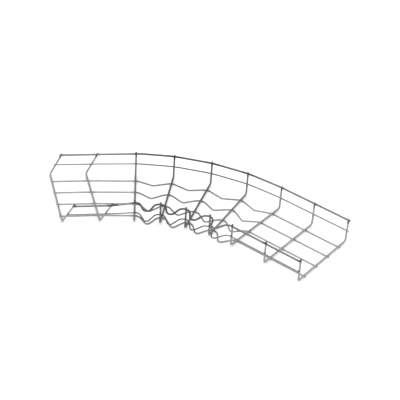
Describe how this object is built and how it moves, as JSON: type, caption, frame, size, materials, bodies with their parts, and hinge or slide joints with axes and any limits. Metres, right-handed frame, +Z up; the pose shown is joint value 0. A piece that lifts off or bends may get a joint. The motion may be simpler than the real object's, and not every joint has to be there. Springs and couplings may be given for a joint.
{
  "type": "wire cable tray bend",
  "caption": "Flat bend of welded wire cable tray that turns by 45 degrees. U-shaped cross wires and long wires, crimped in the turn, carry cables round a corner.",
  "frame": {"origin": "on the ground under the middle of the bounding box", "axes": "+X from the left end to the right end, each end turned from it by half the bend; +Y to the outer side of the bend; +Z up"},
  "size_m": [0.7909, 0.3239, 0.0741],
  "materials": {
    "zinc_wire": "bright zinc plating on drawn steel wire, dulled at the welds"
  },
  "bodies": {
    "root": {"cross_wire_1": "zinc_wire", "cross_wire_2": "zinc_wire", "cross_wire_3": "zinc_wire", "cross_wire_4": "zinc_wire", "cross_wire_5": "zinc_wire", "cross_wire_6": "zinc_wire", "cross_wire_7": "zinc_wire", "cross_wire_8": "zinc_wire", "cross_wire_9": "zinc_wire", "floor_wire_1": "zinc_wire", "floor_wire_2": "zinc_wire", "floor_wire_3": "zinc_wire", "floor_wire_4": "zinc_wire", "outer_wall_wire": "zinc_wire", "outer_rim_wire": "zinc_wire", "inner_wall_wire": "zinc_wire", "inner_rim_wire": "zinc_wire"}
  },
  "joints": []
}
